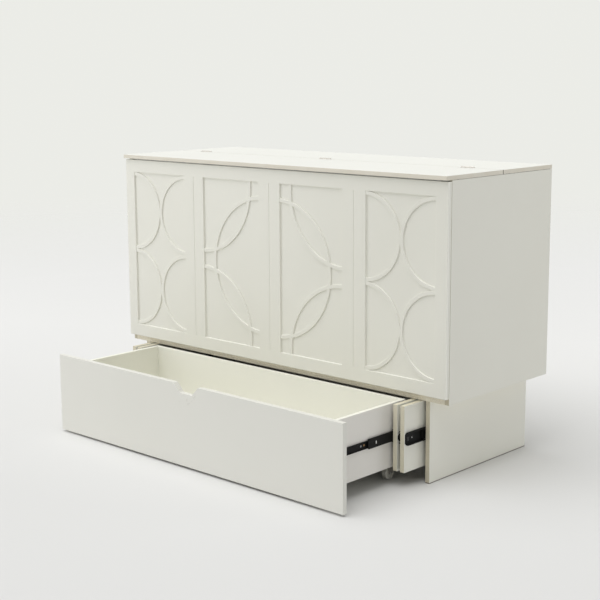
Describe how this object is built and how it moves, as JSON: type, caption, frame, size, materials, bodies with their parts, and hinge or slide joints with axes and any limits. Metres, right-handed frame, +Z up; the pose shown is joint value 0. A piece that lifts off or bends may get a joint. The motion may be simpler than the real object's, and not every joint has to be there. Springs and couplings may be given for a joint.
{
  "type": "murphy cabinet bed",
  "caption": "Free-standing cabinet bed with hinged lid, fretwork fold-down front, folded mattress inside and a drawer on telescoping carriages below.",
  "frame": {"origin": "on the floor, on the centre line, at mid-thickness of the base back panel's underside", "axes": "+X to the right seen from the front, +Y to the back, +Z up; the drawer pulls out towards -Y"},
  "size_m": [1.626, 1.049, 1.0655],
  "materials": {
    "white_lacquer": "satin warm white lacquer",
    "bare_board": "unlacquered board with a lacquered lower face",
    "cream_board": "smooth cream foil",
    "pale_slats": "planed softwood",
    "mattress_cover": "white knitted ticking",
    "slide_black": "black electrocoat, half gloss",
    "slide_cage": "zinc plated",
    "hinge_steel": "nickel plated",
    "magnet": "nickel plated",
    "soft_spacer": "matt",
    "wheel_plastic": "moulded nylon"
  },
  "bodies": {
    "cabinet": {"left_side_panel": "white_lacquer", "right_side_panel": "white_lacquer", "back_panel": "white_lacquer", "floor_panel": "bare_board", "deck_slats": "pale_slats", "top_rail": "white_lacquer", "rear_top_board": "white_lacquer", "lid_spacers": "soft_spacer", "lid_hinge_fixed_leaves": "hinge_steel", "lid_hinge_pins": "hinge_steel", "catch_magnets": "magnet", "pivot_plates": "hinge_steel", "base_left_panel": "white_lacquer", "base_right_panel": "white_lacquer", "base_back_panel": "white_lacquer", "base_slide_rails": "slide_black", "mattress_front_section": "mattress_cover", "mattress_middle_section": "mattress_cover", "mattress_rear_section": "mattress_cover"},
    "lid": {"lid_flap": "white_lacquer", "lid_hinge_moving_leaves": "hinge_steel"},
    "front": {"front_board": "white_lacquer", "front_rails": "white_lacquer", "front_stiles": "white_lacquer", "ring_fretwork": "white_lacquer", "lens_fretwork": "white_lacquer", "front_pivot_pins": "hinge_steel", "catch_plates": "hinge_steel", "foot_panel": "white_lacquer", "foot_bearers": "white_lacquer", "deck_hinge_front_leaf": "hinge_steel", "deck_hinge_foot_leaf": "hinge_steel", "deck_hinge_pin": "hinge_steel"},
    "base_slide_middle": {"base_slide_middles": "slide_black", "base_slide_cages": "slide_cage"},
    "outer_carriage": {"outer_carriage_sides": "white_lacquer", "outer_carriage_rail": "white_lacquer", "outer_carriage_base_channels": "slide_black", "outer_carriage_channels": "slide_black"},
    "carriage_slide_middle": {"carriage_slide_middles": "slide_black", "carriage_slide_cages": "slide_cage"},
    "inner_carriage": {"inner_carriage_sides": "white_lacquer", "inner_carriage_rail": "white_lacquer", "inner_carriage_rails": "slide_black", "inner_carriage_channels": "slide_black"},
    "drawer_slide_middle": {"drawer_slide_middles": "slide_black", "drawer_slide_cages": "slide_cage"},
    "drawer": {"drawer_front": "white_lacquer", "drawer_left_side": "cream_board", "drawer_right_side": "cream_board", "drawer_back": "cream_board", "drawer_floor": "cream_board", "drawer_slide_rails": "slide_black", "wheel_brackets": "hinge_steel", "wheel_axles": "hinge_steel"},
    "rear_left_wheel": {"rear_left_wheel": "wheel_plastic"},
    "rear_right_wheel": {"rear_right_wheel": "wheel_plastic"},
    "front_left_wheel": {"front_left_wheel": "wheel_plastic"},
    "front_right_wheel": {"front_right_wheel": "wheel_plastic"}
  },
  "joints": [
    {"name": "lid_hinge", "type": "hinge", "parent": "cabinet", "child": "lid", "pos_m": [0, -0.2885, 1.0625], "axis": [-1, 0, 0], "range_deg": [0, 180]},
    {"name": "front_fold", "type": "hinge", "parent": "cabinet", "child": "front", "pos_m": [0, -0.592, 0.3215], "axis": [1, 0, 0], "range_deg": [0, 90]},
    {"name": "outer_carriage_slide", "type": "slide", "parent": "cabinet", "child": "outer_carriage", "axis": [0, -1, 0], "range_m": [-0.101, 0.399]},
    {"name": "base_slide_middle_slide", "type": "slide", "parent": "cabinet", "child": "base_slide_middle", "axis": [0, -1, 0], "range_m": [-0.0505, 0.1995]},
    {"name": "inner_carriage_slide", "type": "slide", "parent": "outer_carriage", "child": "inner_carriage", "axis": [0, -1, 0], "range_m": [0, 0.5]},
    {"name": "carriage_slide_middle_slide", "type": "slide", "parent": "outer_carriage", "child": "carriage_slide_middle", "axis": [0, -1, 0], "range_m": [0, 0.25]},
    {"name": "drawer_slide", "type": "slide", "parent": "inner_carriage", "child": "drawer", "axis": [0, -1, 0], "range_m": [-0.326, 0.074]},
    {"name": "drawer_slide_middle_slide", "type": "slide", "parent": "inner_carriage", "child": "drawer_slide_middle", "axis": [0, -1, 0], "range_m": [-0.163, 0.037]},
    {"name": "rear_left_wheel_spin", "type": "hinge", "parent": "drawer", "child": "rear_left_wheel", "pos_m": [-0.595, -0.633, 0.024], "axis": [1, 0, 0], "continuous": true},
    {"name": "rear_right_wheel_spin", "type": "hinge", "parent": "drawer", "child": "rear_right_wheel", "pos_m": [0.595, -0.633, 0.024], "axis": [1, 0, 0], "continuous": true},
    {"name": "front_left_wheel_spin", "type": "hinge", "parent": "drawer", "child": "front_left_wheel", "pos_m": [-0.4, -0.976, 0.024], "axis": [1, 0, 0], "continuous": true},
    {"name": "front_right_wheel_spin", "type": "hinge", "parent": "drawer", "child": "front_right_wheel", "pos_m": [0.4, -0.976, 0.024], "axis": [1, 0, 0], "continuous": true}
  ],
  "couplings": [
    {"joint": "base_slide_middle_slide", "follows": "outer_carriage_slide", "ratio": 0.5},
    {"joint": "carriage_slide_middle_slide", "follows": "inner_carriage_slide", "ratio": 0.5},
    {"joint": "drawer_slide_middle_slide", "follows": "drawer_slide", "ratio": 0.5}
  ]
}
